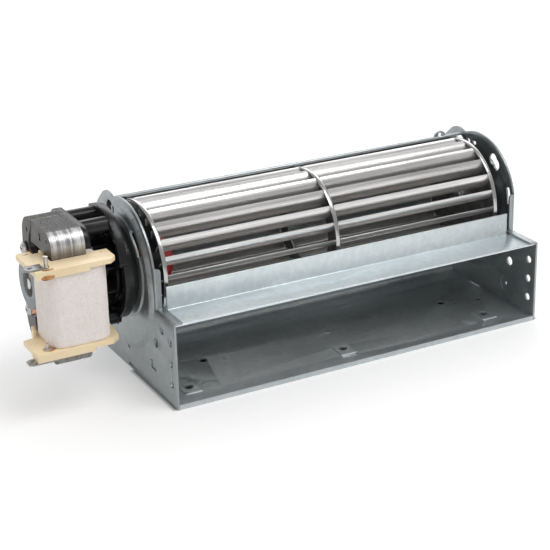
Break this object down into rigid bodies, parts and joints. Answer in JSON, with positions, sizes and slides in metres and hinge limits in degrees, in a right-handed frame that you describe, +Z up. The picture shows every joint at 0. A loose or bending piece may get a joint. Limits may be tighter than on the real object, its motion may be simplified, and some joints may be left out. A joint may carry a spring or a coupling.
{
  "type": "cross flow fan",
  "caption": "Cross flow fan: bladed alloy wheel in a sheet metal scroll housing with a wide front outlet, driven by a shaded pole motor at the left end.",
  "frame": {"origin": "middle of the bounding box's floor, on the plane that the end plates' lower edges rest on", "axes": "+X along the shaft away from the motor, +Y from the outlet to the back, +Z up"},
  "size_m": [0.2694, 0.0938, 0.0865],
  "materials": {
    "galvanised": "satin zinc, faint grain",
    "wheel_alloy": "bright rolled",
    "red_silicone": "satin",
    "steel": "ground",
    "black_rubber": "matte",
    "bronze": "sintered",
    "rotor_steel": "turned",
    "black_plastic": "satin moulded",
    "lamination": "stacked sheet, oiled",
    "copper": "bare copper",
    "beige_plastic": "satin moulded",
    "coil_tape": "fleece tape",
    "tinned_metal": "tinned",
    "die_cast": "die cast, matt"
  },
  "bodies": {
    "housing": {"end_plate_left": "galvanised", "end_plate_right": "galvanised", "scroll_sheet": "galvanised", "cut_off_sheet": "galvanised", "end_bush": "black_rubber", "end_bearing": "bronze", "stator_front": "lamination", "stator_rear": "lamination", "shading_rings": "copper", "bobbin": "beige_plastic", "coil": "coil_tape", "terminal_upper": "tinned_metal", "terminal_lower": "tinned_metal", "winding_pins": "tinned_metal", "bearing_bracket": "die_cast", "motor_screws": "steel", "bearing_rear": "bronze", "bearing_front": "bronze", "motor_mount": "black_plastic"},
    "impeller": {"end_disc_left": "wheel_alloy", "mid_ring": "wheel_alloy", "end_disc_right": "wheel_alloy", "blades": "wheel_alloy", "impeller_hub": "red_silicone", "stub_shaft": "steel", "motor_shaft": "steel", "rotor_core": "rotor_steel", "cooling_fan": "black_plastic"}
  },
  "joints": [
    {"name": "impeller_spin", "type": "hinge", "parent": "housing", "child": "impeller", "pos_m": [0.02925, 0.00485, 0.0545], "axis": [-1, 0, 0], "continuous": true}
  ]
}
